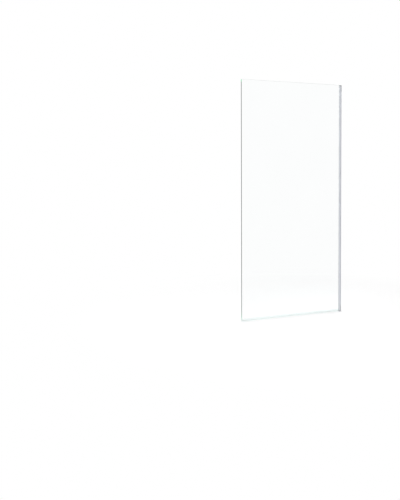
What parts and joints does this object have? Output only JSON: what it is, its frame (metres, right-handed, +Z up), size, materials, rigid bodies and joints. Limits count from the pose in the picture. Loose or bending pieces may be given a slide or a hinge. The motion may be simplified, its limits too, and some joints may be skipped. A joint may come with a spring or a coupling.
{
  "type": "bath screen",
  "caption": "Frameless pivoting glass bath screen: a clear pane in a slim satin post that swings about a vertical axis between wall brackets, with a clear sweep along the rim",
  "frame": {"origin": "on the pivot axis at the level of the bath rim, at the underside of the bottom bracket's pad", "axes": "+Z up; +X along the rim to the wall; +Y in over the bath, so the closed leaf reaches towards -X"},
  "size_m": [0.7, 0.0092, 1.4],
  "materials": {
    "glass": "clear toughened glass, ground and polished edges with a green tint",
    "anodised_aluminium": "satin silver anodised extrusion",
    "bracket_metal": "satin stainless casting",
    "stainless": "turned stainless steel",
    "grey_acetal": "moulded acetal",
    "white_acetal": "smooth low-friction plastic",
    "soft_strip": "soft translucent grey strip",
    "setting_block": "firm black rubber",
    "foot_pad": "soft grey rubber",
    "clear_pvc": "clear flexible extrusion"
  },
  "bodies": {
    "wall_side": {"wall_profile": "anodised_aluminium", "hinge_seal": "soft_strip", "bottom_bracket": "bracket_metal", "top_bracket": "bracket_metal", "bracket_rivets": "stainless", "bottom_pivot_pin": "stainless", "top_pivot_pin": "stainless", "bottom_thrust_washer": "white_acetal", "top_thrust_washer": "white_acetal", "foot_pad": "foot_pad"},
    "leaf": {"glass_panel": "glass", "pivot_post": "anodised_aluminium", "glazing_gasket": "soft_strip", "setting_block": "setting_block", "bottom_pivot_cap": "grey_acetal", "top_pivot_cap": "grey_acetal", "cap_screws": "stainless", "bottom_sweep": "clear_pvc"}
  },
  "joints": [
    {"name": "swing", "type": "hinge", "parent": "wall_side", "child": "leaf", "pos_m": [0, 0, 0.7], "axis": [0, 0, 1], "range_deg": [-90, 90]}
  ]
}
